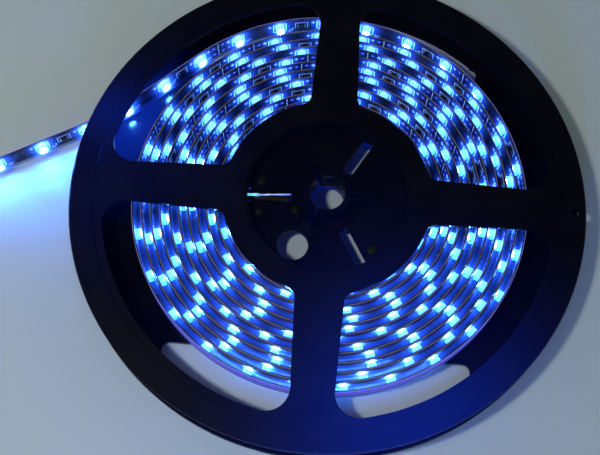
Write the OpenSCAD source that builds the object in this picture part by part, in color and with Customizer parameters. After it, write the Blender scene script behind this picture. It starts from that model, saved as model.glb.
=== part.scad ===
// Flexible LED strip wound on a two-flange plastic reel, with its free end led out to the side.
// The reel lies flat: its axis is Z, and the origin is on the axis where the arbor tube meets the table.

/* [Reel] */
// Diameter of both flanges
reel_d = 180; // [170:1:220]
// Thickness of the flange plates
flange_t = 1.6; // [1.2:0.1:2.5]
// Clear width between the two flanges
slot_w = 9; // [8.6:0.1:14]
// Height of the raised rim on the outer face of each flange
rim_step = 0.6; // [0.2:0.1:1.5]
// Radial width of the raised rim
rim_w = 8; // [4:0.5:9.5]
// Radial width of the closed ring outside the windows
ring_w = 11; // [10:0.5:13]

/* [Upper flange windows] */
// Width of a spoke where it meets the hub ring
spoke_w_in = 17; // [12:0.5:20]
// Width of a spoke where it meets the rim
spoke_w_out = 14; // [10:0.5:16]
// Radius of the hub ring that carries the spokes
hub_ring_r = 36.5; // [34:0.5:42]
// Corner radius of the windows at the rim
window_r_out = 8; // [4:0.5:9]
// Corner radius of the windows at the hub ring
window_r_in = 4; // [2:0.5:6]
// Diameter of the tie hole in the rim
tie_hole_d = 3.4; // [2:0.1:4]
// Distance from the tie hole's edge to the rim's edge
tie_hole_edge = 2.3; // [1.5:0.1:3]

/* [Lower flange windows] */
// Distance from the reel's centre line to the straight edge of each window
chord_y = 54.3; // [45:0.1:58]
// Length of each window along its straight edge
chord_len = 105; // [80:1:106]
// Corner radius of the lower windows
chord_r = 2.6; // [1:0.1:4]

/* [Hub] */
// Outer diameter of the hub barrel
hub_d = 60; // [58:0.5:61]
// Wall of the hub barrel
hub_wall = 2; // [1.6:0.1:3]
// Wall of the spigots that locate the two flanges
spigot_wall = 1; // [0.6:0.1:1.2]
// Clearance of the flanges on the spigots
seat_gap = 0.05; // [0:0.01:0.2]
// Depth of the recess above the hub's web
recess_depth = 4.8; // [2:0.1:6]
// Thickness of the hub's web
web_t = 1.6; // [1.2:0.1:3]
// Diameter of the arbor bore
bore_d = 12.2; // [11.6:0.1:13.2]
// Wall of the arbor tube
bore_wall = 2; // [1.5:0.1:2.5]
// Height of the arbor tube's top above the rim
tube_proud = 0.8; // [0:0.1:1.5]
// Depth of the wider bore in the arbor tube's foot
foot_bore_h = 4; // [1:0.1:5]
// Diameter of the bore in the foot
foot_bore_d = 15.8; // [14:0.1:16.2]
// Width of the three keyways of the arbor tube
key_w = 1.6; // [1.4:0.1:2.4]
// Radius to which the keyways reach
key_r = 12.2; // [10:0.1:12.4]
// Wall round each keyway
key_wall = 0.8; // [0.6:0.1:1.2]
// Width of the three long slots in the web
web_slot_w = 4; // [2:0.1:5]
// Radius at which the long slots start
web_slot_r_in = 12.5; // [11:0.5:16]
// Diameter of the round hole in the web
web_hole_d = 11; // [6:0.5:11]
// Radius at which the round hole lies
web_hole_r = 21; // [20:0.5:21.5]
// Width of the window in the barrel wall where the strip starts
lead_window_w = 6; // [4:0.5:8]
// Diameter of the round ejector marks on the web
ejector_d = 3.6; // [2:0.1:4]

/* [Strip] */
// Number of 50 mm cut units on the strip
units = 79; // [60:1:84]
// Length of one cut unit, with three LEDs
unit_len = 50; // [45:1:55]
// Width of the strip
strip_w = 8; // [8:0.1:8.4]
// Spacing of the turns
pitch = 3.24; // [3.2:0.01:3.3]
// Clearance between the hub barrel and the coat of the innermost turn
hub_gap = 0.3; // [0.1:0.1:1]
// Clearance of the coil above the lower flange
strip_lift = 0.2; // [0:0.05:0.3]
// How far the last turn has sprung away from the coil
loosening = 3; // [0:0.5:4]
// Angle at which the free end leaves the coil
leave_angle = 133.5; // [120:0.5:140]
// Length of the free end, from the coil to its cut edge
tail_len = 92.2; // [60:0.1:120]
// Thickness of the flexible circuit
flex_t = 0.3; // [0.2:0.05:0.4]
// Thickness of the adhesive tape on its back
tape_t = 0.15; // [0.1:0.01:0.2]
// Thickness of the tape's release liner
liner_t = 0.1; // [0.08:0.01:0.12]
// Height of the silicone coat at its crown
coat_h = 2.3; // [2.1:0.05:2.35]
// Height of the silicone coat near the strip's edges
coat_edge_h = 1.5; // [1:0.05:2]

/* [LEDs and resistors] */
// LED housing length, across the strip
led_l = 3.5; // [3:0.1:3.6]
// LED housing width, along the strip
led_w = 2.8; // [2.4:0.1:3]
// Overall height of an LED above the circuit
led_h = 1.9; // [1.4:0.1:1.95]
// Diameter of the LED's resin window
resin_d = 2.4; // [1.6:0.1:2.4]
// Depth of the resin window
resin_t = 0.6; // [0.3:0.1:1]
// Resistor length, along the strip
res_l = 3.2; // [2:0.1:3.4]
// Resistor width, across the strip
res_w = 1.6; // [1:0.05:2]
// Resistor height
res_h = 0.55; // [0.4:0.05:0.7]

/* [Hidden] */
$fn = 96;

// Heights, from the table up
reel_r = reel_d / 2;
lower_z = rim_step;                      // underside of the lower plate
slot_z = lower_z + flange_t;             // floor of the winding slot
slot_top = slot_z + slot_w;              // ceiling of the winding slot
upper_z = slot_top + flange_t;           // top face of the upper plate
top_z = upper_z + rim_step;              // top of the upper rim
strip_z = slot_z + strip_lift;           // lower edge of the strip
strip_mid_z = strip_z + strip_w / 2;
web_top = upper_z - recess_depth;
web_z = web_top - web_t;
tube_top = top_z + tube_proud;

// Radii of the reel
rim_r = reel_r - rim_w;
window_r = reel_r - ring_w;
hub_r = hub_d / 2;
recess_r = hub_r - hub_wall;
spigot_r = recess_r + spigot_wall;
seat_r = spigot_r + seat_gap;
bore_r = bore_d / 2;
foot_roof = 1.2;                         // of plastic over the foot's bore
key_step = 0.4;                          // the keyways' walls end this far below the tube's top
key_top = tube_top - key_step;
web_slot_ledge = 0.7;
web_slot_r_out = recess_r - web_slot_ledge;
tube_r = bore_r + bore_wall;
foot_bore_r = foot_bore_d / 2;
foot_wall = 1.5;
foot_r = foot_bore_r + foot_wall;
foot_top = foot_bore_h + foot_roof;
tie_hole_r = reel_r - tie_hole_edge - tie_hole_d / 2;

// Small edges of the mouldings
edge_round = 0.4;                        // on the flange's inner corner
rim_round = 0.5;                         // on the rim's outer corner
rim_slope = 0.3;                         // on the rim's inner side
bore_chamfer = 0.4;

// The windows of the upper flange: the spoke's edge is the line normal * p = edge_c
spoke_slope = atan((spoke_w_out - spoke_w_in) / 2 / (window_r - hub_ring_r));
edge_c = (spoke_w_in / 2 - hub_ring_r * tan(spoke_slope)) * cos(spoke_slope);

// Angles of the hub's features
key_angles = [0, 120, 240];
slot_angles = [60, 180, 300];
hole_angle = 239;
lead_angle = 180;                        // the barrel's window, at the end of one long slot
ejector_marks = [[24.3, -14], [24.3, 14], [11.3, 22]];  // radius, and angle from a slot
ejector_depth = 0.3;
window_lip = 1;                          // the barrel's window starts this far above the slot's floor
window_rise = 1.2;                       // and ends this far above the web

// The strip is measured in from its cut end. It is flat over each step, where a component sits.
steps_per_unit = 6;
step = unit_len / steps_per_unit;
strip_len = units * unit_len;
coil_len = strip_len - tail_len;
coil_r_in = hub_r + hub_gap + coat_h;
coil_r_out = sqrt(coil_r_in * coil_r_in + coil_len * pitch / PI);
lift_span = 130;                         // the last turn springs out over this angle
leave_r = coil_r_out + loosening;
leave_dir = leave_angle + 90 - atan(pitch / (2 * PI * leave_r));
tail_straight = 28;                      // the free end runs straight, bends once and runs straight
tail_bend_len = 20;
tail_bend = -13.5;
stations = concat([0], [for (s = [step / 2 : step : strip_len]) s], [strip_len]);
pad_gap = 0.1;                           // an LED's housing stands on its terminals
tab_t = 0.15;
tab_w = 2;
tab_h = led_h / 2;
cap_l = 0.45;
pocket_gap = 0.02;
pocket_z = led_l / 2 + tab_t + pocket_gap;

// What sits on the steps of one unit, counted in from the cut end
LED_STEPS = [1, 3, 5];
RESISTOR_STEP = 4;

coil_turns = ceil((coil_r_out - coil_r_in) / pitch);
function two_digits(n) = str(n < 10 ? "0" : "", n);
led_nodes = concat(["leds_free_end"], [for (t = [1 : coil_turns]) str("leds_turn_", two_digits(t))]);

// ---- The strip's route ----

// Share of the last turn's spring at coil angle a
function lift_share(a) = min(1, max(0, 1 - (leave_angle - a) / lift_span));
function coil_base(a) = coil_r_out - pitch * (leave_angle - a) / 360;
function coil_r(a) = let (t = lift_share(a)) coil_base(a) + loosening * t * t * (3 - 2 * t);

// Length of strip between coil angle a and the point where the free end leaves
function coil_arc(a) = let (t = lift_share(a))
    PI / pitch * (coil_r_out * coil_r_out - coil_base(a) * coil_base(a))
    + PI / 180 * loosening * lift_span * (0.5 - t * t * t + t * t * t * t / 2);

// Coil angle at a length from the leaving point, by two steps of Newton's method
function newton(a, len) = a + (coil_arc(a) - len) / (PI / 180 * coil_r(a));
function first_guess(len) =
    leave_angle - 360 * (coil_r_out - sqrt(coil_r_out * coil_r_out - len * pitch / PI)) / pitch;
function coil_angle(len) = newton(newton(first_guess(len), len), len);

function polar(r, a) = [r * cos(a), r * sin(a)];

// The free end, at a length t from the leaving point: place and heading
function bend_r() = tail_bend_len / (tail_bend * PI / 180);
function tail_heading(t) =
    leave_dir + tail_bend * min(1, max(0, (t - tail_straight) / tail_bend_len));
function tail_place(t) =
    let (start = polar(leave_r, leave_angle), turn = tail_heading(t))
    start
    + polar(min(t, tail_straight), leave_dir)
    + bend_r() * (polar(1, turn - 90) - polar(1, leave_dir - 90))
    + polar(max(0, t - tail_straight - tail_bend_len), turn);

// Place on the route and outward direction, at a length s from the cut end
function route(s) = s <= tail_len
    ? let (t = tail_len - s) [tail_place(t), tail_heading(t) - 90]
    : let (a = coil_angle(s - tail_len)) [polar(coil_r(a), a), a];

path = [for (s = stations) route(s)];

// The route moved outward by d, as a list of points
function offset_path(d) = [for (p = path) p[0] + polar(d, p[1])];
function reversed(list) = [for (i = [len(list) - 1 : -1 : 0]) list[i]];

// A band of the strip between two outward offsets
module band(d_back, d_front) {
    polygon(concat(offset_path(d_back), reversed(offset_path(d_front))));
}

// Midpoint and outward direction of the flat step that starts at station i
function flat_mid(i) = (path[i][0] + path[i + 1][0]) / 2;
function flat_dir(i) = let (d = path[i + 1][0] - path[i][0]) atan2(d[1], d[0]) + 90;

// Places a component on the circuit: X outward from the circuit's face, Y along it, Z up
module on_step(i) {
    m = flat_mid(i);
    translate([m[0], m[1], strip_mid_z])
        rotate(flat_dir(i))
            children();
}

function is_led(i) = len([for (k = LED_STEPS) if (i % steps_per_unit == k) 1]) > 0;
function is_resistor(i) = i % steps_per_unit == RESISTOR_STEP;
led_steps = [for (i = [1 : units * steps_per_unit - 1]) if (is_led(i)) i];
resistor_steps = [for (i = [1 : units * steps_per_unit - 1]) if (is_resistor(i)) i];

// The turn that a step lies on: 0 on the free end, 1 on the outermost turn
function turn_of(i) = let (s = i * step)
    s < tail_len ? 0 : 1 + floor((leave_angle - coil_angle(s - tail_len)) / 360);

// ---- The reel ----

module mirrored_corner() {
    children();
    mirror([1, -1, 0])
        children();
}

// Point at radius rho and at a distance above the spoke's edge
function by_edge(rho, above) = let (c = edge_c + above, t = sqrt(rho * rho - c * c))
    c * [-sin(spoke_slope), cos(spoke_slope)] + t * [cos(spoke_slope), sin(spoke_slope)];

// Half-plane of the spoke that runs along +X
module spoke_side() {
    rotate(spoke_slope)
        translate([-reel_r, edge_c - 2 * reel_r])
            square([3 * reel_r, 2 * reel_r]);
}

// What lies between a corner of the window and the arc that rounds it
module corner_cut(rho, fillet, sense) {
    centre = by_edge(rho - sense * fillet, fillet);
    foot = by_edge(rho - sense * fillet, 0);
    far = rho * (1 + 0.15 * sense);
    difference() {
        polygon([
            centre - fillet * [-sin(spoke_slope), cos(spoke_slope)],
            by_edge(far, 0),
            centre * far / norm(centre),
            centre
        ]);
        translate(centre)
            circle(r = fillet);
    }
}

// One window of the upper flange, between the spokes along +X and +Y
module window_outline() {
    difference() {
        circle(r = window_r);
        circle(r = hub_ring_r);
        mirrored_corner() {
            spoke_side();
            corner_cut(window_r, window_r_out, 1);
            corner_cut(hub_ring_r, window_r_in, -1);
        }
    }
}

// A flange's plate and raised rim, lying with its plate's inner face at z = 0 and the rim outward
module flange_blank() {
    rotate_extrude($fn = 180)
        polygon([
            [seat_r, 0],
            [reel_r - edge_round, 0],
            [reel_r, edge_round],
            [reel_r, flange_t + rim_step - rim_round],
            [reel_r - rim_round, flange_t + rim_step],
            [rim_r, flange_t + rim_step],
            [rim_r - rim_slope, flange_t],
            [seat_r, flange_t]
        ]);
}

module upper_flange() {
    color([0.07, 0.07, 0.08])
        translate([0, 0, slot_top])
            difference() {
                flange_blank();
                translate([0, 0, -1])
                    for (quarter = [0 : 3])
                        rotate(90 * quarter)
                            linear_extrude(flange_t + rim_step + 2)
                                window_outline();
                translate([tie_hole_r, 0, -1])
                    cylinder(h = flange_t + rim_step + 2, d = tie_hole_d, $fn = 32);
            }
}

// One window of the lower flange, on the +Y side: a straight inner edge and the rim's arc
module lower_window_outline() {
    half = chord_len / 2;
    side_top = sqrt(pow(window_r - chord_r, 2) - pow(half - chord_r, 2));
    intersection() {
        circle(r = window_r);
        union() {
            translate([-half + chord_r, chord_y])
                square([2 * (half - chord_r), reel_r]);
            for (side = [-1, 1])
                for (y = [chord_y + chord_r, max(side_top, chord_y + chord_r)])
                    translate([side * (half - chord_r), y])
                        circle(r = chord_r, $fn = 32);
            translate([-half, chord_y + chord_r])
                square([2 * half, max(chord_r / 100, side_top - chord_y - chord_r)]);
        }
    }
}

module lower_flange() {
    color([0.06, 0.06, 0.07])
        difference() {
            translate([0, 0, slot_z])
                mirror([0, 0, 1])
                    flange_blank();
            for (side = [0, 180])
                rotate(side)
                    translate([0, 0, -1])
                        linear_extrude(slot_z + 2)
                            lower_window_outline();
        }
}

// Barrel, spigots, web and arbor tube, as one revolved section that is bored out afterwards
module hub_section() {
    polygon([
        [0, 0],
        [foot_r, 0],
        [foot_r, foot_top],
        [tube_r, foot_top],
        [tube_r, web_z],
        [recess_r, web_z],
        [recess_r, lower_z],
        [spigot_r, lower_z],
        [spigot_r, slot_z],
        [hub_r, slot_z],
        [hub_r, slot_top],
        [spigot_r, slot_top],
        [spigot_r, upper_z],
        [recess_r, upper_z],
        [recess_r, web_top],
        [tube_r, web_top],
        [tube_r, tube_top],
        [0, tube_top]
    ]);
}

// A bar that runs out from the axis at an angle
module radial_bar(angle, r_in, r_out, width, z_low, z_high) {
    rotate(angle)
        translate([r_in, -width / 2, z_low])
            cube([r_out - r_in, width, z_high - z_low]);
}

module hub_core() {
    color([0.05, 0.05, 0.06])
        difference() {
            union() {
                rotate_extrude($fn = 120)
                    hub_section();
                for (a = key_angles)
                    radial_bar(a, 0, key_r + key_wall, key_w + 2 * key_wall, 0, key_top);
            }
            translate([0, 0, foot_bore_h - 1])
                cylinder(h = tube_top - foot_bore_h + 2, r = bore_r);
            translate([0, 0, -1])
                cylinder(h = foot_bore_h + 1, r = foot_bore_r);
            translate([0, 0, tube_top - bore_chamfer])
                cylinder(h = 2 * bore_chamfer, r1 = bore_r, r2 = bore_r + 2 * bore_chamfer);
            for (a = key_angles)
                radial_bar(a, 0, key_r, key_w, -1, tube_top + 1);
            for (a = slot_angles)
                radial_bar(a, web_slot_r_in, web_slot_r_out, web_slot_w, web_z - 1, web_top + 1);
            radial_bar(lead_angle, recess_r - 1, hub_r + 1, lead_window_w,
                slot_z + window_lip, web_top + window_rise);
            translate([web_hole_r * cos(hole_angle), web_hole_r * sin(hole_angle), web_z - 1])
                cylinder(h = web_t + 2, d = web_hole_d, $fn = 48);
            for (a = slot_angles)
                for (mark = ejector_marks)
                    rotate(a + mark[1])
                        translate([mark[0], 0, web_top - ejector_depth])
                            cylinder(h = 1, d = ejector_d, $fn = 24);
        }
}

// ---- The strip's layers ----

module flex_circuit() {
    color([0.09, 0.09, 0.11])
        translate([0, 0, strip_z])
            linear_extrude(strip_w)
                band(flex_t, 0);
}

module adhesive_tape() {
    color([0.86, 0.84, 0.78])
        translate([0, 0, strip_z])
            linear_extrude(strip_w)
                band(flex_t + tape_t, flex_t);
}

module release_liner() {
    color([0.62, 0.44, 0.26])
        translate([0, 0, strip_z])
            linear_extrude(strip_w)
                band(flex_t + tape_t + liner_t, flex_t + tape_t);
}

// The coat's face against the circuit, with a notch round each component
function notch(i, half, depth) =
    let (m = flat_mid(i), out = polar(1, flat_dir(i)), along = polar(1, flat_dir(i) - 90))
    [
        m - half * along,
        m - half * along - depth * out,
        m + half * along - depth * out,
        m + half * along
    ];
function notches(i) =
    is_led(i) ? notch(i, led_w / 2 + pocket_gap, led_h + pocket_gap)
    : is_resistor(i) ? notch(i, res_l / 2 + pocket_gap, res_h + pocket_gap)
    : [];
function notched_face() = [
    for (i = [0 : len(path) - 1])
        each concat([path[i][0]], i > 0 && i < len(path) - 2 ? notches(i) : [])
];

// The coat is thick along its middle and falls off towards both edges of the strip
module silicone_coat() {
    shoulder = strip_w / 2 - pocket_z;
    color([0.75, 0.85, 0.95, 0.5])
        translate([0, 0, strip_z]) {
            linear_extrude(shoulder)
                band(0, -coat_edge_h);
            translate([0, 0, shoulder])
                linear_extrude(2 * pocket_z)
                    polygon(concat(notched_face(), reversed(offset_path(-coat_h))));
            translate([0, 0, strip_w - shoulder])
                linear_extrude(shoulder)
                    band(0, -coat_edge_h);
        }
}

// ---- Components ----

module led_housing() {
    difference() {
        translate([-led_h, -led_w / 2, -led_l / 2])
            cube([led_h - pad_gap, led_w, led_l]);
        translate([-led_h - 1, 0, 0])
            rotate([0, 90, 0])
                cylinder(h = 1 + resin_t, d = resin_d, $fn = 24);
    }
}

module leds_of_turn(turn) {
    color([0.93, 0.95, 0.97])
        for (i = led_steps)
            if (turn_of(i) == turn)
                on_step(i)
                    led_housing();
}

module led_resin_windows() {
    color([0.45, 0.85, 1.0])
        for (i = led_steps)
            on_step(i)
                translate([-led_h, 0, 0])
                    rotate([0, 90, 0])
                        cylinder(h = resin_t, d = resin_d, $fn = 24);
}

module led_terminals() {
    color([0.80, 0.80, 0.78])
        for (i = led_steps)
            on_step(i)
                for (end = [-1, 1])
                    translate([-tab_h, -tab_w / 2, end > 0 ? led_l / 2 : -led_l / 2 - tab_t])
                        cube([tab_h, tab_w, tab_t]);
}

module resistor_bodies() {
    color([0.10, 0.10, 0.10])
        for (i = resistor_steps)
            on_step(i)
                translate([-res_h, cap_l - res_l / 2, -res_w / 2])
                    cube([res_h, res_l - 2 * cap_l, res_w]);
}

module resistor_end_caps() {
    color([0.80, 0.80, 0.78])
        for (i = resistor_steps)
            on_step(i)
                for (end = [-1, 1])
                    translate([-res_h, end > 0 ? res_l / 2 - cap_l : -res_l / 2, -res_w / 2])
                        cube([res_h, cap_l, res_w]);
}

upper_flange();
lower_flange();
hub_core();
flex_circuit();
adhesive_tape();
release_liner();
silicone_coat();
led_resin_windows();
led_terminals();
resistor_bodies();
resistor_end_caps();
for (turn = [0 : coil_turns])
    leds_of_turn(turn);
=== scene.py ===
"""Looks of a lit LED strip wound on its black two-flange reel."""
import math

import bmesh
import bpy
from mathutils import Matrix, Vector


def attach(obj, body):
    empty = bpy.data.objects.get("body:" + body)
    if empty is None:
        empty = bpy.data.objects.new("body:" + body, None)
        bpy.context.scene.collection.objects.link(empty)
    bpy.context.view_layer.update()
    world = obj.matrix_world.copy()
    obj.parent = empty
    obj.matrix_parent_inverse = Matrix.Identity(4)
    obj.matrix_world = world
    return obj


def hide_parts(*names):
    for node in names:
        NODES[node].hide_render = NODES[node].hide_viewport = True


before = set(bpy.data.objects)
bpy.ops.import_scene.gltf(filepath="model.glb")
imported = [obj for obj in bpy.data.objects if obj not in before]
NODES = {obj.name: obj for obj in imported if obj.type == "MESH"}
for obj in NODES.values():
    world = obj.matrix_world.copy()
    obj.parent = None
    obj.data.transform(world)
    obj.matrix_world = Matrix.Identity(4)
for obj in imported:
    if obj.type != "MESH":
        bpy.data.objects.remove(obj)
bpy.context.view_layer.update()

MM = 0.001
TINY = 1e-6
WELD_DISTANCE = 1e-7

# ---- The strip's route, in millimetres, as the solids have it ----

UNITS = 79
UNIT_LEN = 50.0
STEPS_PER_UNIT = 6
STEP = UNIT_LEN / STEPS_PER_UNIT
STRIP_LEN = UNITS * UNIT_LEN
STRIP_W = 8.0
STRIP_Z = 2.4
MID_Z = STRIP_Z + STRIP_W / 2
PITCH = 3.24
COIL_R_IN = 32.6
LOOSENING = 3.0
LIFT_SPAN = 130.0
LEAVE_ANGLE = 133.5
TAIL_LEN = 92.2
TAIL_STRAIGHT = 28.0
TAIL_BEND_LEN = 20.0
TAIL_BEND = -13.5
COIL_R_OUT = math.sqrt(COIL_R_IN**2 + (STRIP_LEN - TAIL_LEN) * PITCH / math.pi)
LEAVE_R = COIL_R_OUT + LOOSENING
LEAVE_DIR = LEAVE_ANGLE + 90 - math.degrees(math.atan(PITCH / (2 * math.pi * LEAVE_R)))

# Layers of the strip, outward from the circuit's face
FLEX_T = 0.3
TAPE_T = 0.15
LINER_T = 0.1
COAT_H = 2.3
COAT_EDGE_H = 1.5

LED_STEPS = (1, 3, 5)
RESISTOR_STEP = 4


def polar(radius, degrees):
    """A point in the reel's plane."""
    angle = math.radians(degrees)
    return Vector((radius * math.cos(angle), radius * math.sin(angle)))


def lift_share(angle):
    """How far the last turn has sprung out at a coil angle."""
    return min(1.0, max(0.0, 1 - (LEAVE_ANGLE - angle) / LIFT_SPAN))


def coil_base(angle):
    """Radius of the evenly wound coil at a coil angle."""
    return COIL_R_OUT - PITCH * (LEAVE_ANGLE - angle) / 360


def coil_r(angle):
    """Radius of the coil at a coil angle, with its last turn sprung out."""
    share = lift_share(angle)
    return coil_base(angle) + LOOSENING * share * share * (3 - 2 * share)


def coil_arc(angle):
    """Length of strip between a coil angle and the point where the free end leaves."""
    share = lift_share(angle)
    regular = math.pi / PITCH * (COIL_R_OUT**2 - coil_base(angle) ** 2)
    sprung = math.radians(LOOSENING * LIFT_SPAN) * (0.5 - share**3 + share**4 / 2)
    return regular + sprung


def coil_angle(length):
    """Coil angle at a length from the leaving point."""
    inner = math.sqrt(COIL_R_OUT**2 - length * PITCH / math.pi)
    angle = LEAVE_ANGLE - 360 * (COIL_R_OUT - inner) / PITCH
    for _ in range(2):
        angle += (coil_arc(angle) - length) / math.radians(coil_r(angle))
    return angle


def tail_heading(t):
    """Direction of the free end, in degrees, at a length t from the leaving point."""
    return LEAVE_DIR + TAIL_BEND * min(1.0, max(0.0, (t - TAIL_STRAIGHT) / TAIL_BEND_LEN))


def tail_place(t):
    """A point of the free end, at a length t from the leaving point."""
    bend_r = TAIL_BEND_LEN / math.radians(TAIL_BEND)
    turn = tail_heading(t)
    bent = bend_r * (polar(1, turn - 90) - polar(1, LEAVE_DIR - 90))
    straight = polar(min(t, TAIL_STRAIGHT), LEAVE_DIR)
    beyond = polar(max(0.0, t - TAIL_STRAIGHT - TAIL_BEND_LEN), turn)
    return polar(LEAVE_R, LEAVE_ANGLE) + straight + bent + beyond


def route(s):
    """Place on the route and outward direction, at a length s from the cut end."""
    if s <= TAIL_LEN:
        t = TAIL_LEN - s
        return tail_place(t), polar(1, tail_heading(t) - 90)
    angle = coil_angle(s - TAIL_LEN)
    return polar(coil_r(angle), angle), polar(1, angle)


STEP_COUNT = UNITS * STEPS_PER_UNIT
corners = [route(0)]
corners += [route((i + 0.5) * STEP) for i in range(STEP_COUNT)]
corners += [route(STRIP_LEN)]


def corner(i, outward):
    """A corner of the route moved outward; the two end ones are mirrored past the strip's ends."""
    if i == 0:
        return 2 * corner_at(0, outward) - corner_at(1, outward)
    if i == STEP_COUNT + 1:
        return 2 * corner_at(i, outward) - corner_at(i - 1, outward)
    return corner_at(i, outward)


def corner_at(i, outward):
    """A corner of the route moved outward."""
    place, out = corners[i]
    return place + outward * out


def on_strip(s, outward, up):
    """A point of the wound strip: the smooth curve that touches each flat step at its middle."""
    share = min(max(s / STEP, 0.0), STEP_COUNT - TINY)
    i = int(share) + 1
    t = share - int(share)
    place = (
        (1 - t) ** 2 / 2 * corner(i - 1, outward)
        + (0.5 + t * (1 - t)) * corner(i, outward)
        + t * t / 2 * corner(min(i + 1, STEP_COUNT + 1), outward)
    )
    return Vector((place.x, place.y, up)) * MM


# ---- Building helpers ----


def piece(name, bm, finish, replaced=()):
    """Makes the mesh a piece that rides on the reel."""
    bmesh.ops.recalc_face_normals(bm, faces=bm.faces)
    mesh = bpy.data.meshes.new(name)
    bm.to_mesh(mesh)
    bm.free()
    mesh.materials.append(finish)
    made = bpy.data.objects.new(name, mesh)
    bpy.context.scene.collection.objects.link(made)
    for polygon in mesh.polygons:
        polygon.use_smooth = True
    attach(made, "root")
    if replaced:
        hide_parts(*replaced)
    return made


def bend(bm):
    """Lays a mesh made as (length along, outward, up) along the wound strip.

    Its flat place is kept as UV: steps along the strip, and share of the strip's width.
    """
    uv = bm.loops.layers.uv.new("strip")
    for face in bm.faces:
        for loop in face.loops:
            place = loop.vert.co
            loop[uv].uv = (place.x / STEP, (place.z - STRIP_Z) / STRIP_W)
    for vert in bm.verts:
        vert.co = on_strip(*vert.co)


def swept(section, per_step, s_from=0.0, s_to=STRIP_LEN):
    """Sweeps a closed section (outward, up) along the wound strip."""
    bm = bmesh.new()
    along = max(2, round((s_to - s_from) / STEP * per_step))
    around = len(section)
    bmesh.ops.create_grid(bm, x_segments=along, y_segments=around, size=0.5)
    for vert in bm.verts:
        s = s_from + (vert.co.x + 0.5) * (s_to - s_from)
        outward, up = section[round((vert.co.y + 0.5) * around) % around]
        vert.co = Vector((s, outward, up))
    bend(bm)
    bmesh.ops.remove_doubles(bm, verts=bm.verts, dist=WELD_DISTANCE)
    ends = [edge for edge in bm.edges if edge.is_boundary]
    bmesh.ops.holes_fill(bm, edges=ends, sides=0)
    return bm


def closed(points, steps):
    """A closed section with its straight runs cut into steps: steps[i] runs from point i to the next."""
    section = []
    for i, count in enumerate(steps):
        start, end = Vector(points[i]), Vector(points[(i + 1) % len(points)])
        section += [tuple(start.lerp(end, k / count)) for k in range(count)]
    return section


def to_metres(bm):
    """Scales a mesh made in millimetres."""
    bmesh.ops.scale(bm, verts=bm.verts, vec=(MM, MM, MM))


# ---- Finishes ----

# Nearly all of the noise lies between these values
NOISE_STOPS = (0.3, 0.7)


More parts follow.
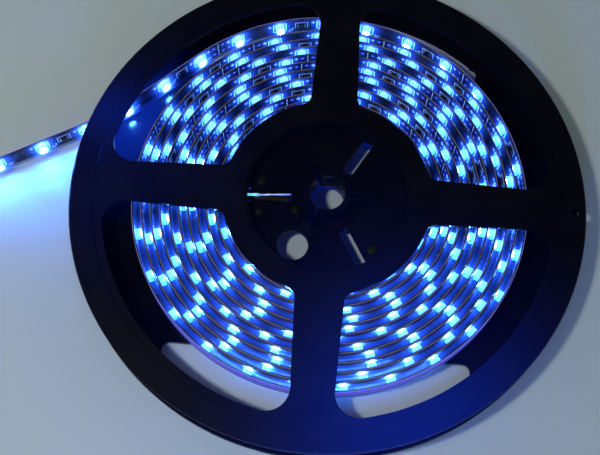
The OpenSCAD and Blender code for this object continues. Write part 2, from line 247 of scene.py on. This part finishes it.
class Finish:
    """A procedural finish, built node by node round one Principled shader."""

    def __init__(self, name, **plain):
        self.material = bpy.data.materials.new(name)
        self.material.use_nodes = True
        self.nodes = self.material.node_tree.nodes
        self.links = self.material.node_tree.links
        self.shader = self.nodes["Principled BSDF"]
        for socket, value in plain.items():
            self.shader.inputs[socket.replace("_", " ")].default_value = value

    def node(self, kind, *inputs, out=0, **settings):
        """Adds a node; inputs are sockets or plain values in order, and None leaves one alone."""
        made = self.nodes.new(kind)
        for setting, value in settings.items():
            setattr(made, setting, value)
        for i, value in enumerate(inputs):
            if isinstance(value, bpy.types.NodeSocket):
                self.links.new(value, made.inputs[i])
            elif value is not None:
                made.inputs[i].default_value = value
        return made.outputs[out]

    def math(self, operation, *inputs):
        """Adds a Math node."""
        return self.node("ShaderNodeMath", *inputs, operation=operation)

    def place(self):
        """Coordinates in the reel's frame."""
        return self.node("ShaderNodeTexCoord", out="Object")

    def distance(self, x, y, z):
        """Distance from a point given in mm."""
        point = (x * MM, y * MM, z * MM)
        return self.node("ShaderNodeVectorMath", self.place(), point, operation="DISTANCE", out=1)

    def parts(self, vector):
        """The three numbers of a vector."""
        apart = self.nodes.new("ShaderNodeSeparateXYZ")
        self.links.new(vector, apart.inputs[0])
        return tuple(apart.outputs)

    def grain(self, size_mm, detail=3.0):
        """Noise with features of about that size."""
        return self.node("ShaderNodeTexNoise", self.place(), None, 1 / (size_mm * MM), detail)

    def ramp(self, value, *stops):
        """A colour ramp; stops are (place, colour)."""
        made = self.nodes.new("ShaderNodeValToRGB")
        self.links.new(value, made.inputs[0])
        while len(made.color_ramp.elements) < len(stops):
            made.color_ramp.elements.new(0.5)
        for element, (where, colour) in zip(made.color_ramp.elements, stops):
            element.position = where
            element.color = (*colour, 1)
        return made.outputs[0]

    def span(self, value, low, high, to_low, to_high, smooth=False):
        """Maps a value from one range to another."""
        kind = "SMOOTHSTEP" if smooth else "LINEAR"
        return self.node(
            "ShaderNodeMapRange", value, low, high, to_low, to_high, interpolation_type=kind
        )

    def mix(self, share, first, second):
        """Mixes two colours; a Mix node has its colours on sockets 6 and 7, and their mix on 2."""
        made = self.nodes.new("ShaderNodeMix")
        made.data_type = "RGBA"
        for i, value in ((0, share), (6, first), (7, second)):
            if isinstance(value, bpy.types.NodeSocket):
                self.links.new(value, made.inputs[i])
            else:
                made.inputs[i].default_value = value if i == 0 else (*value, 1)
        return made.outputs[2]

    def into(self, socket, value):
        """Drives one of the shader's inputs."""
        self.links.new(value, self.shader.inputs[socket])

    def mottle(self, socket, size_mm, first, second, stops=NOISE_STOPS):
        """Drives a colour by noise: the first colour in its lows, the second in its highs."""
        low, high = stops
        self.into(socket, self.ramp(self.grain(size_mm), (low, first), (high, second)))

    def mottle_roughness(self, size_mm, smoothest, roughest):
        """Drives the roughness by noise."""
        self.into("Roughness", self.span(self.grain(size_mm), *NOISE_STOPS, smoothest, roughest))

    def add_light(self, extra):
        """Adds to the light that the finish gives already."""
        given = self.shader.inputs["Emission Strength"].links[0].from_socket
        self.into("Emission Strength", self.math("ADD", given, extra))

    def bump(self, height, depth_mm, strength):
        """Drives the surface's fine relief by a height."""
        made = self.nodes.new("ShaderNodeBump")
        made.inputs["Strength"].default_value = strength
        made.inputs["Distance"].default_value = depth_mm * MM
        self.links.new(height, made.inputs["Height"])
        self.into("Normal", made.outputs[0])

    def strip_place(self):
        """Steps along the strip and share of its width."""
        return self.parts(self.node("ShaderNodeUVMap", uv_map="strip"))[:2]

    def square(self, value):
        return self.math("MULTIPLY", value, value)

    def fade(self, squares):
        """1 where the squares are 0, falling off smoothly as they grow."""
        return self.math("EXPONENT", self.math("MULTIPLY", squares, -1.0))

    def glow(self, reach, tall, middle=0.5):
        """Light of the nearest LED: 1 at its middle, fading over these distances in mm."""
        along, across = self.strip_place()
        along = self.math("SUBTRACT", 1.0, self.math("PINGPONG", along, 1.0))
        along = self.math("MULTIPLY", along, STEP / reach)
        across = self.math("MULTIPLY", self.math("SUBTRACT", across, middle), STRIP_W / tall)
        return self.fade(self.math("ADD", self.square(along), self.square(across)))

    def glow_sum(self, base, *terms):
        """A base level and terms of (strength, reach, tall, middle)."""
        total = base
        for strength, *spread in terms:
            total = self.math("MULTIPLY_ADD", self.glow(*spread), strength, total)
        return total

    def dress(self, *nodes):
        """Puts the finish on CAD nodes, in place of what they came with."""
        for name in nodes:
            mesh = NODES[name].data
            mesh.materials.clear()
            mesh.materials.append(self.material)


# The strip's light: in the LEDs' windows, in the layers beside them, and where it spills on the reel
LIGHT = (0.04, 0.235, 1.0)
HAZE = (0.016, 0.09, 1.0)
SPILL = (0.008, 0.055, 1.0)
WALL_SPILL = (0.10, 0.45, 1.0)

REEL_DARK = (0.0012, 0.0012, 0.0018)
REEL_PALE = (0.0024, 0.0025, 0.0036)
FLOW_PATCH = 14
MOULD_GRAIN = 0.5
POOL_Z = 12.8


def reel_plastic(name, roughness, base_light, *pools, gloss=0.09):
    """Black moulded polystyrene, with flow patches, a fine grain and pools of the strip's light in it.

    A pool is (x, y, reach, strength), in mm.
    """
    finish = Finish(name, Specular_IOR_Level=gloss, Emission_Color=(*SPILL, 1))
    patches = finish.grain(FLOW_PATCH)
    low, high = NOISE_STOPS
    finish.into("Base Color", finish.ramp(patches, (low, REEL_DARK), (high, REEL_PALE)))
    finish.into("Roughness", finish.span(patches, low, high, roughness - 0.05, roughness + 0.05))
    finish.bump(finish.grain(MOULD_GRAIN, 2.0), 0.03, 0.2)
    light = base_light
    for x, y, reach, strength in pools:
        share = finish.math("MULTIPLY", finish.distance(x, y, POOL_Z), 1 / (reach * MM))
        light = finish.math("MULTIPLY_ADD", finish.fade(finish.square(share)), strength, light)
    finish.into("Emission Strength", light)
    return finish


upper_plastic = reel_plastic(
    "upper_flange_plastic", 0.42, 0.0012, (32, -80, 41, 0.19), (-80, 26, 12, 0.08), (-84, 8, 44, 0.026)
)
# The window's wall beside the free end catches the light of its LEDs
WALL_SPOT = (-71, 8, 12.4)
WALL_SPOT_EDGE = 12
WALL_SPOT_CORE = 4
WALL_SPOT_STRENGTH = 1.6
normal = upper_plastic.node("ShaderNodeNewGeometry", out="Normal")
upright = upper_plastic.math("SUBTRACT", 1.0, upper_plastic.math("ABSOLUTE", upper_plastic.parts(normal)[2]))
near = upper_plastic.span(
    upper_plastic.distance(*WALL_SPOT),
    WALL_SPOT_EDGE * MM, WALL_SPOT_CORE * MM, 0.0, WALL_SPOT_STRENGTH, smooth=True,
)
wall_light = upper_plastic.math("MULTIPLY", upright, near)
upper_plastic.add_light(wall_light)
upper_plastic.into("Emission Color", upper_plastic.mix(wall_light, SPILL, WALL_SPILL))
upper_plastic.dress("upper_flange")

lower_plastic = reel_plastic(
    "lower_flange_plastic", 0.2, 0.002, (-76, 24, 18, 0.40), (-65, 38, 12, 0.25), (20, -70, 50, 0.05),
    gloss=0.16,
)
lower_plastic.dress("lower_flange")

# Below the web's underside, the hub takes more of the strip's light
WEB_TOP = 8.0
WEB_T = 1.6
UNDERSIDE = WEB_TOP - WEB_T
UNDERSIDE_BLEND = 0.1
UNDERSIDE_LIGHT = 0.10
hub_plastic = reel_plastic("hub_plastic", 0.36, 0.003, (14, -40, 30, 0.03))
hub_height = hub_plastic.parts(hub_plastic.place())[2]
hub_plastic.add_light(
    hub_plastic.span(
        hub_height,
        (UNDERSIDE + UNDERSIDE_BLEND) * MM, (UNDERSIDE - UNDERSIDE_BLEND) * MM, 0.0, UNDERSIDE_LIGHT,
    )
)
hub_plastic.dress("hub_core")

resin = Finish("lit_resin", Emission_Color=(*LIGHT, 1), Emission_Strength=1800.0, Roughness=0.1)
resin.mottle("Base Color", 0.6, (0.3, 0.6, 0.9), (0.5, 0.8, 1.0), stops=(0.2, 0.8))
resin.dress("led_resin_windows")

# The housing's emission is painted glow: the LED's light showing through its white plastic.
housing = Finish("led_housing_plastic", Emission_Strength=5.0, Roughness=0.35)
housing.mottle("Base Color", 1.2, (0.80, 0.84, 0.88), (0.88, 0.90, 0.92))
housing.mottle("Emission Color", 2.0, (0.010, 0.12, 0.9), (0.03, 0.26, 1.0))
housing.dress("leds_free_end", *[n for n in NODES if n.startswith("leds_turn_")])

tin = Finish("tinned_terminals", Metallic=1.0)
tin.mottle("Base Color", 0.4, (0.62, 0.62, 0.60), (0.80, 0.80, 0.78))
tin.mottle_roughness(0.3, 0.2, 0.42)
tin.dress("resistor_end_caps")

lit_tin = Finish("lit_terminals", Metallic=0.6, Roughness=0.3, Emission_Strength=2.2)
lit_tin.mottle("Base Color", 0.4, (0.4, 0.6, 0.8), (0.6, 0.75, 0.9))
lit_tin.mottle("Emission Color", 0.8, (0.06, 0.36, 0.9), (0.14, 0.52, 1.0))
lit_tin.dress("led_terminals")

glaze = Finish("resistor_glaze", Specular_IOR_Level=0.5)
glaze.mottle("Base Color", 0.5, (0.010, 0.010, 0.012), (0.022, 0.022, 0.026))
glaze.mottle_roughness(0.3, 0.2, 0.35)
glaze.dress("resistor_bodies")

# ---- The strip's layers ----

z_low, z_high = STRIP_Z, STRIP_Z + STRIP_W
# The strip's layers are swept in this many runs to each step of the route
CUTS_PER_STEP = 4


def layer_section(inner, outer, cuts_up=1):
    """A flat layer's section, between two places outward of the circuit's face."""
    points = [(inner, z_low), (inner, z_high), (outer, z_high), (outer, z_low)]
    return closed(points, [cuts_up, 1, 1, 1])



flex = Finish("circuit_resist", Specular_IOR_Level=0.3, Emission_Color=(*HAZE, 1))
flex.mottle("Base Color", 2.0, (0.004, 0.005, 0.010), (0.008, 0.010, 0.020))
flex.mottle_roughness(1.0, 0.25, 0.4)
flex.into("Emission Strength", flex.glow_sum(0.006, (0.22, 4.6, 6.0), (2.0, 2.4, 2.8)))
flex_section = layer_section(0, FLEX_T, cuts_up=8)
piece("circuit", swept(flex_section, CUTS_PER_STEP), flex.material, ["flex_circuit"])

tape = Finish("foam_tape", Roughness=0.8)
tape.mottle("Base Color", 0.3, (0.20, 0.15, 0.08), (0.30, 0.23, 0.13))
tape_back = FLEX_T + TAPE_T
tape_section = layer_section(FLEX_T, tape_back)
piece("tape_layer", swept(tape_section, CUTS_PER_STEP), tape.material, ["adhesive_tape"])

liner = Finish("waxed_liner", Roughness=0.55, Emission_Color=(0.10, 0.125, 1.0, 1))
liner_steps, liner_rise = liner.strip_place()
top_edge = liner.span(liner_rise, 0.98, 1.0, 0.0, 1.0)
# The liner's face is painted dark, as painted shade between the turns; the paper's own tan shows only along
# its top edge.
SHADED_PAPER_DARK = (0.045, 0.034, 0.036)
SHADED_PAPER_PALE = (0.075, 0.056, 0.055)
PAPER_EDGE = (0.34, 0.25, 0.14)
shaded_paper = liner.ramp(liner.grain(1.5), *zip(NOISE_STOPS, (SHADED_PAPER_DARK, SHADED_PAPER_PALE)))
liner.into("Base Color", liner.mix(top_edge, shaded_paper, PAPER_EDGE))
# The last turn's back faces the room, and shows the light that comes through
LAST_TURN_STEPS = (50.0, 60.0)
last_turn = liner.span(liner_steps, *LAST_TURN_STEPS, 0.8, 0.07)
rising = liner.span(liner_rise, 0.1, 1.0, 0.3, 1.0)
liner.into("Emission Strength", liner.math("MULTIPLY", last_turn, rising))
liner_back = tape_back + LINER_T
liner_section = layer_section(tape_back, liner_back)
piece("liner_layer", swept(liner_section, CUTS_PER_STEP), liner.material, ["release_liner"])

coat = Finish("silicone", Roughness=0.12, Specular_IOR_Level=0.5, Emission_Color=(*HAZE, 1))
coat.mottle("Base Color", 3.0, (0.02, 0.03, 0.10), (0.04, 0.06, 0.18))
edge_on = coat.node("ShaderNodeLayerWeight", 0.35, out="Fresnel")
clear = coat.span(edge_on, 0.0, 1.0, 0.04, 0.26)
clear = coat.math("MULTIPLY_ADD", coat.glow(4.0, 7.0), 0.12, clear)
# A core of light over each LED, and a halo round it along the free end
CORE = (1.5, 1.7, 0.62)
HALO = (3.0, 4.0, 0.55)
FREE_END_STEPS = (11.0, 16.0)
core = coat.glow(*CORE)
free = coat.span(coat.strip_place()[0], *FREE_END_STEPS, 1.0, 0.0)
halo = coat.math("MULTIPLY", free, coat.glow(*HALO))
clear = coat.math("MULTIPLY_ADD", core, 0.25, clear)
clear = coat.math("MULTIPLY_ADD", halo, 0.25, clear)
# Seen from behind, on the reel's front side, the turns glow through
GLOW_THROUGH_Y = (8, -22)
along_y = coat.parts(coat.place())[1]
behind = coat.span(along_y, GLOW_THROUGH_Y[0] * MM, GLOW_THROUGH_Y[1] * MM, 0.0, 1.0, smooth=True)
clear = coat.math("MULTIPLY_ADD", behind, 0.10, clear)
coat.into("Alpha", coat.node("ShaderNodeClamp", clear, 0.0, 1.0))
lit = coat.glow_sum(0.03, (2.6, 3.8, 7.0), (16.0, 1.3, 1.4, 0.62))
uneven = coat.span(coat.grain(9.0), *NOISE_STOPS, 0.35, 1.1)
lit = coat.math("MULTIPLY_ADD", behind, uneven, lit)
coat.into("Emission Strength", coat.math("MULTIPLY_ADD", halo, 7.0, lit))
coat.into("Emission Color", coat.mix(core, HAZE, (0.26, 0.70, 1.0)))

# Half of the coat's section: height off the circuit, and distance in from the strip's edge
COAT_HALF = ((0.02, 0.0), (COAT_EDGE_H * 0.7, 0.0), (COAT_EDGE_H, 0.35), (1.95, 1.35), (2.2, 2.5))
coat_section = [(-height, z_low + inset) for height, inset in COAT_HALF]
coat_section.append((-COAT_H, MID_Z))
coat_section += [(-height, z_high - inset) for height, inset in reversed(COAT_HALF)]
piece("silicone_dome", swept(coat_section, CUTS_PER_STEP), coat.material, ["silicone_coat"])

# ---- Printed marks and pads on the circuit's face ----


# How far a mark reaches into the circuit's face, so that no gap shows
MARK_SUNK = 0.01


def marks(bars, thickness):
    """Thin bars on the circuit's face: (s, up, length along, length up)."""
    bm = bmesh.new()
    for s, up, long, tall in bars:
        made = bmesh.ops.create_cube(bm, size=1.0)["verts"]
        bmesh.ops.scale(bm, verts=made, vec=(long, thickness, tall))
        bmesh.ops.translate(bm, verts=made, vec=(s, MARK_SUNK - thickness / 2, MID_Z + up))
    bend(bm)
    return bm


def discs(spots, radius, thickness, sides):
    """Thin round pads on the circuit's face: (s, up)."""
    bm = bmesh.new()
    facing = Matrix.Rotation(math.radians(90), 3, "X")
    for s, up in spots:
        made = bmesh.ops.create_cone(
            bm, cap_ends=True, segments=sides, radius1=radius, radius2=radius, depth=thickness
        )["verts"]
        bmesh.ops.rotate(bm, verts=made, matrix=facing)
        bmesh.ops.translate(bm, verts=made, vec=(s, MARK_SUNK - thickness / 2, MID_Z + up))
    bend(bm)
    return bm


def plus(along, up):
    """Two crossed bars."""
    return [(along, up, 1.4, 0.36), (along, up, 0.36, 1.4)]


def printed(middle, group):
    """A group of bars, moved to the middle of what it belongs to."""
    return [(middle + along, up, long, tall) for along, up, long, tall in group]


# Bars round the middle of an LED, a resistor and a cut: (along, up, length along, length up), in mm
LED_PRINT = []
for side in (-1, 1):
    LED_PRINT.append((side * 2.45, 0, 0.32, 4.8))
    LED_PRINT += [(side * 2.0, up, 0.9, 0.3) for up in (-2.4, 2.4)]
LED_PRINT += plus(-3.9, 1.5)
LED_PRINT += [(3.5 + 0.75 * dot, -2.3, 0.42, 0.42) for dot in range(3)]
LED_PRINT.append((3.9, -3.2, 1.7, 0.34))

RESISTOR_PRINT = [(side * 2.3, -0.1, 0.28, 3.6) for side in (-1, 1)]
RESISTOR_PRINT += [(0, 1.8, 4.88, 0.28), (-3.4, -1.6, 0.6, 0.6)]

CUT_PRINT = [(0, 0, 0.34, 7.4)]
CUT_PADS = []
for side in (-1, 1):
    CUT_PRINT += plus(side * 4.3, 2.0)
    CUT_PRINT.append((side * 4.3, -2.0, 1.3, 0.28))
    CUT_PADS += [(side * 1.9, up) for up in (-2.0, 2.0)]

# What lies nearer the strip's ends than this is left out
MARK_CLEAR = 0.4
PAD_CLEAR = 1.2

bars, pads = [], []
for unit in range(UNITS):
    start = unit * UNIT_LEN
    for k in LED_STEPS:
        bars += printed(start + k * STEP, LED_PRINT)
    bars += printed(start + RESISTOR_STEP * STEP, RESISTOR_PRINT)
    bars += printed(start, CUT_PRINT)
    pads += [(start + along, up) for along, up in CUT_PADS]
bars = [bar for bar in bars if MARK_CLEAR < bar[0] < STRIP_LEN - MARK_CLEAR]
pads = [pad for pad in pads if PAD_CLEAR < pad[0] < STRIP_LEN - PAD_CLEAR]

INK_T = 0.04
PAD_R = 1.0
PAD_T = 0.05
VIA_R = 0.28
VIA_T = 0.08

ink = Finish("print_ink", Roughness=0.6, Emission_Color=(0.06, 0.26, 1.0, 1))
ink.mottle("Base Color", 0.5, (0.66, 0.70, 0.78), (0.80, 0.84, 0.88))
ink.into("Emission Strength", ink.glow_sum(0.34, (1.4, 5.5, 9.0), (5.0, 3.2, 4.4)))
piece("print_marks", marks(bars, INK_T), ink.material)

# The pads' tin is painted dark blue in place of its silver, and its emission is painted glow of the LEDs.
pad_tin = Finish("cut_pad_tin", Roughness=0.45, Emission_Color=(0.015, 0.05, 1.0, 1))
pad_tin.mottle("Base Color", 0.4, (0.02, 0.03, 0.16), (0.03, 0.05, 0.24))
pad_tin.into("Emission Strength", pad_tin.glow_sum(0.28, (0.3, 6.0, 9.0)))
piece("cut_pads", discs(pads, PAD_R, PAD_T, 12), pad_tin.material)

via = Finish("via_tin", Roughness=0.4, Emission_Color=(0.10, 0.30, 1.0, 1))
via.mottle("Base Color", 0.2, (0.60, 0.66, 0.76), (0.74, 0.80, 0.88))
via.into("Emission Strength", via.glow_sum(0.9, (1.2, 6.0, 9.0)))
piece("pad_vias", discs(pads, VIA_R, VIA_T, 6), via.material)

# ---- Small things on the hub ----

# Ejector marks: (radius, angle) of each on the web
EJECTOR_MARKS = ((24.3, 166), (24.3, 194), (11.3, 202), (24.3, 314))
EJECTOR_DEPTH = 0.3
EJECTOR_R = 1.75
EJECTOR_TOP_R = 1.70
EJECTOR_SKIN = 0.06

bm = bmesh.new()
for radius, angle in EJECTOR_MARKS:
    spot = polar(radius, angle)
    made = bmesh.ops.create_cone(
        bm, cap_ends=True, segments=32, radius1=EJECTOR_R, radius2=EJECTOR_TOP_R, depth=EJECTOR_SKIN
    )["verts"]
    bmesh.ops.translate(bm, verts=made, vec=(spot.x, spot.y, WEB_TOP - EJECTOR_DEPTH + EJECTOR_SKIN / 2))
to_metres(bm)
polished = Finish("ejector_mark_plastic", Specular_IOR_Level=0.15)
polished.mottle("Base Color", 16.0, (0.002, 0.003, 0.003), (0.012, 0.017, 0.016), stops=(0.38, 0.68))
polished.mottle_roughness(0.6, 0.5, 0.7)
piece("ejector_marks", bm, polished.material)

# The trimmed start of the strip, tucked through the barrel's window into the long slot
TONGUE_X = (-29.4, -12.9)
TONGUE_Z = 7.2
TONGUE_W = 3.7
TONGUE_T = 0.35
bm = bmesh.new()
bmesh.ops.create_grid(bm, x_segments=22, y_segments=2, size=0.5)
for vert in bm.verts:
    along = vert.co.x + 0.5
    x = TONGUE_X[0] + along * (TONGUE_X[1] - TONGUE_X[0])
    # The lower side is straight; a slow wave and a fine one make the rest uneven
    wave = 0.10 * math.sin(along * 9) + 0.05 * math.sin(along * 31)
    y = vert.co.y * TONGUE_W + wave * (vert.co.y > -0.4)
    vert.co = Vector((x, y, TONGUE_Z + 0.15 * math.sin(along * 5)))
bmesh.ops.solidify(bm, geom=bm.faces[:], thickness=TONGUE_T)
to_metres(bm)
tongue_face = Finish("tongue_resist", Specular_IOR_Level=0.2)
tongue_face.mottle("Base Color", 1.5, (0.004, 0.004, 0.008), (0.008, 0.009, 0.016))
tongue_face.mottle_roughness(0.8, 0.35, 0.5)
piece("strip_start_tongue", bm, tongue_face.material)

# The torn edge of the silicone on it: points (x, y) that its middle passes
EDGE_PATH = (
    (-29.3, 2.8), (-29.6, 0.6), (-28.4, 0.0), (-24.0, 0.15), (-19.5, 0.7), (-15.5, 0.9), (-12.7, 1.2),
)
EDGE_LIFT = 0.35
EDGE_T = 0.3


def along_path(share):
    """A place on the torn edge's path."""
    spot = share * (len(EDGE_PATH) - 1)
    i = min(int(spot), len(EDGE_PATH) - 2)
    return Vector(EDGE_PATH[i]).lerp(Vector(EDGE_PATH[i + 1]), spot - i)


bm = bmesh.new()
bmesh.ops.create_grid(bm, x_segments=48, y_segments=1, size=0.5)
for vert in bm.verts:
    along = vert.co.x + 0.5
    spot = along_path(along)
    ragged = 0.6 + 0.4 * math.sin(along * 15 + 1.2) + 0.15 * math.sin(along * 43)
    width = 0.25 + 0.9 * ragged * (1.2 - along)
    vert.co = Vector((spot.x, spot.y + vert.co.y * width, TONGUE_Z + EDGE_LIFT + 0.3 * ragged))
bmesh.ops.solidify(bm, geom=bm.faces[:], thickness=EDGE_T)
to_metres(bm)
torn = Finish("torn_silicone", Roughness=0.2)
torn.mottle("Base Color", 1.0, (0.4, 0.5, 0.8), (0.6, 0.7, 0.9))
torn.into("Emission Strength", torn.span(torn.grain(2.5), 0.35, 0.65, 0.7, 1.5))
# Its light runs from cyan at the barrel, through blue and lilac, to a dark blue
run = torn.span(torn.parts(torn.place())[0], -29.5 * MM, -12.7 * MM, 0.0, 1.0)
torn.into(
    "Emission Color",
    torn.ramp(
        run, (0.0, (0.06, 0.5, 1.0)), (0.22, (0.10, 0.7, 1.0)), (0.36, (0.02, 0.05, 0.8)),
        (0.5, (0.30, 0.32, 1.0)), (0.75, (0.12, 0.13, 1.0)), (1.0, (0.03, 0.03, 0.5)),
    ),
)
piece("strip_start_edge", bm, torn.material)

# ---- Floor, light and camera ----

bpy.ops.mesh.primitive_plane_add(size=6)
floor = bpy.context.object
floor.name = "floor"
table_top = Finish("pale_floor", Roughness=0.6, Specular_IOR_Level=0.2)
table_top.mottle("Base Color", 400, (0.57, 0.64, 0.62), (0.61, 0.68, 0.66))
floor.data.materials.append(table_top.material)

# The studio is pale all round and dark above, so that black plastic stays black from the top
STUDIO_WALL = (0.36, 0.41, 0.41)
STUDIO_CEILING = (0.016, 0.018, 0.024)
WALL_TOP = 0.45
CEILING_EDGE = 0.85
world = bpy.data.worlds.new("studio")
bpy.context.scene.world = world
world.use_nodes = True
sky = world.node_tree
direction = sky.nodes.new("ShaderNodeTexCoord")
apart = sky.nodes.new("ShaderNodeSeparateXYZ")
height = sky.nodes.new("ShaderNodeMapRange")
tone = sky.nodes.new("ShaderNodeMix")
tone.data_type = "RGBA"
height.inputs[1].default_value = WALL_TOP
height.inputs[2].default_value = CEILING_EDGE
tone.inputs[6].default_value = (*STUDIO_WALL, 1)
tone.inputs[7].default_value = (*STUDIO_CEILING, 1)
sky.links.new(direction.outputs["Generated"], apart.inputs[0])
sky.links.new(apart.outputs[2], height.inputs[0])
sky.links.new(height.outputs[0], tone.inputs[0])
sky.links.new(tone.outputs[2], sky.nodes["Background"].inputs[0])


def softbox(name, place, radius, power, colour, spread=180):
    """A round lamp aimed at the middle of the reel; sizes in metres, power in watts, spread in degrees."""
    lamp = bpy.data.lights.new(name, "AREA")
    lamp.spread = math.radians(spread)
    lamp.shape = "DISK"
    lamp.size = 2 * radius
    lamp.energy = power
    lamp.color = colour
    made = bpy.data.objects.new(name, lamp)
    made.location = place
    made.rotation_euler = (-Vector(place)).to_track_quat("-Z", "Y").to_euler()
    bpy.context.scene.collection.objects.link(made)


softbox("key", place=(-0.218, -0.145, 0.484), radius=0.03, power=0.95, colour=(0.95, 1.0, 0.98))
softbox("fill", place=(0.02, -0.46, 0.15), radius=0.05, power=0.15, colour=(0.04, 0.2, 1.0), spread=60)

# The camera's place in mm, and the directions of its right, its top and its back
CAMERA_PLACE = Vector((1.348, -144.097, 349.34))
CAMERA_RIGHT = Vector((0.99689671, 0.07870713, 0.00145949))
CAMERA_TOP = Vector((-0.07384989, 0.92863368, 0.3635735))
CAMERA_BACK = Vector((0.0272605, -0.36255301, 0.93156437))
SENSOR_W = 36
LENS = 62.86
camera_data = bpy.data.cameras.new("camera")
camera_data.sensor_width = SENSOR_W
camera_data.lens = LENS
camera_data.clip_start = 0.01
camera = bpy.data.objects.new("camera", camera_data)
turned = Matrix((CAMERA_RIGHT, CAMERA_TOP, CAMERA_BACK)).transposed().to_4x4()
camera.matrix_world = Matrix.Translation(CAMERA_PLACE * MM) @ turned
bpy.context.scene.collection.objects.link(camera)
bpy.context.scene.camera = camera
bpy.context.scene.view_settings.view_transform = "Standard"
